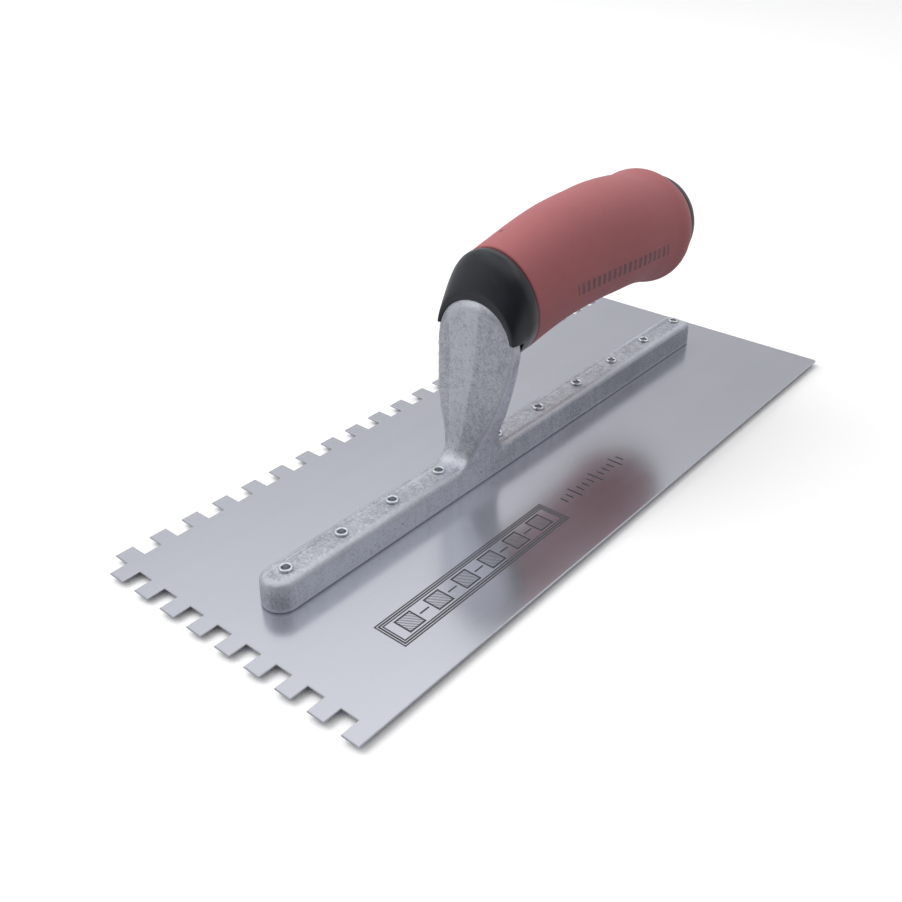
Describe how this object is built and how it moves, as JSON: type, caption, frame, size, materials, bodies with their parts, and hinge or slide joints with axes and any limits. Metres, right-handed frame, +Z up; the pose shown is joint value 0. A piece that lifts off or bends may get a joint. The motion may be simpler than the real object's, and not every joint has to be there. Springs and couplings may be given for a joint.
{
  "type": "notched trowel",
  "caption": "Flat rectangular notched trowel: thin steel blade notched on one long edge and the toe, riveted to a cast bar whose shank carries a curved soft-grip handle.",
  "frame": {"origin": "middle of the blade's outline, on the underside that slides over the work", "axes": "+X along the blade from the notched toe to the plain heel, +Y to the notched long edge, +Z up to the handle"},
  "size_m": [0.2794, 0.1142, 0.089],
  "materials": {
    "blade_steel": "satin ground spring steel, fine grain along the blade",
    "rivet_zinc": "bright zinc plate",
    "cast_aluminium": "tumbled casting, finely mottled",
    "core_plastic": "moulded",
    "collar_plastic": "satin black moulding",
    "grip_rubber": "soft matt moulded rubber, brick red",
    "cap_plastic": "fine matt moulding",
    "fixing_steel": "zinc plated"
  },
  "bodies": {
    "root": {"blade": "blade_steel", "rivets": "rivet_zinc", "mounting": "cast_aluminium", "handle_core": "core_plastic", "front_collar": "collar_plastic", "grip_sleeve": "grip_rubber", "end_cap": "cap_plastic", "tang_washer": "fixing_steel", "tang_screw": "fixing_steel"}
  },
  "joints": []
}
